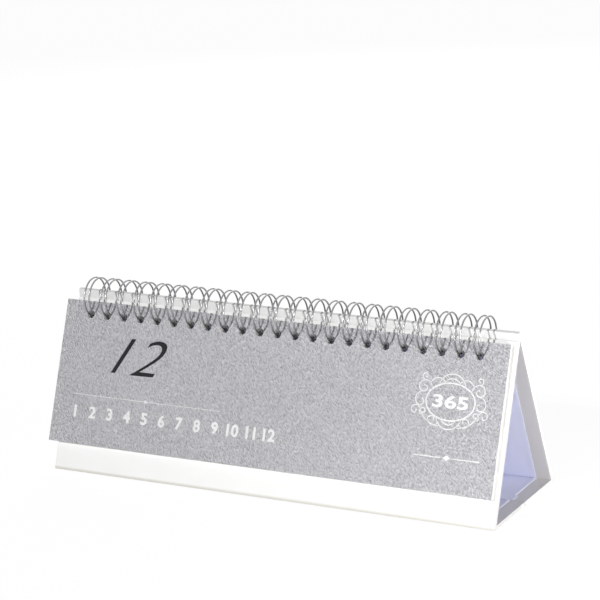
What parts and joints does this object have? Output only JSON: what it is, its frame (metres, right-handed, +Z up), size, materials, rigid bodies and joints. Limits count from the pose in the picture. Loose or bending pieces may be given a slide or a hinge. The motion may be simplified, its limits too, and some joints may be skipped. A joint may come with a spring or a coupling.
{
  "type": "desk calendar",
  "caption": "Long table-top tent calendar: a wrapped-board easel with a flip pad and grey cover leaf bound along its ridge by a twin-loop wire.",
  "frame": {"origin": "middle of the stand's rectangular footprint, on the surface it stands on", "axes": "+X along the width, left to right as seen from the front; -Y towards the front, where the pad hangs; +Z up"},
  "size_m": [0.3211, 0.0912, 0.1201],
  "materials": {
    "greyboard": "matte",
    "white_wrap_paper": "matte",
    "lining_paper": "matte",
    "calendar_paper": "matte",
    "grey_card": "embossed matte",
    "binding_wire": "satin"
  },
  "bodies": {
    "stand": {"front_board": "greyboard", "rear_board": "greyboard", "base_front_board": "greyboard", "base_rear_board": "greyboard", "cover_wrap": "white_wrap_paper", "liner": "lining_paper", "page_block": "calendar_paper", "binding_wire": "binding_wire"},
    "cover": {"cover_leaf": "grey_card"}
  },
  "joints": [
    {"name": "cover_flip", "type": "hinge", "parent": "stand", "child": "cover", "pos_m": [0, -0.0013, 0.1068], "axis": [-1, 0, 0], "range_deg": [0, 222]}
  ]
}
